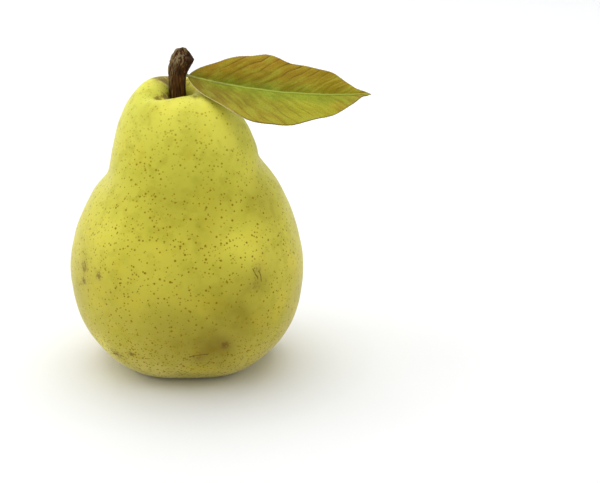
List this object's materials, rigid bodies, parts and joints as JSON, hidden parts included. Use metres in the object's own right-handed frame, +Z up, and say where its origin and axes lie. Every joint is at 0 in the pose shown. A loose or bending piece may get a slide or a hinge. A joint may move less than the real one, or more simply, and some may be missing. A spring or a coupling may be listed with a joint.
{
  "type": "pear",
  "caption": "Whole ripe pear as picked, with its woody stem, a leaf on the stem and the dried calyx underneath; stands on its flattened base.",
  "frame": {"origin": "under the middle of the whole object's box, on the surface that the fruit stands on", "axes": "+Z up along the fruit's core, +X towards the leaf's tip, +Y to the back"},
  "size_m": [0.1044, 0.082, 0.113],
  "materials": {
    "skin": "thin waxy yellow-green pear skin with fine brown breathing dots, satin",
    "bark": "dark brown woody stem with grey lengthwise cracks, matt",
    "leaf": "leathery leaf, bronze and yellow-green, satin on top and paler beneath",
    "dried_sepal": "dry papery brown flower remains, matt"
  },
  "bodies": {
    "root": {"fruit": "skin", "stem": "bark", "leaf": "leaf", "calyx": "dried_sepal"}
  },
  "joints": []
}
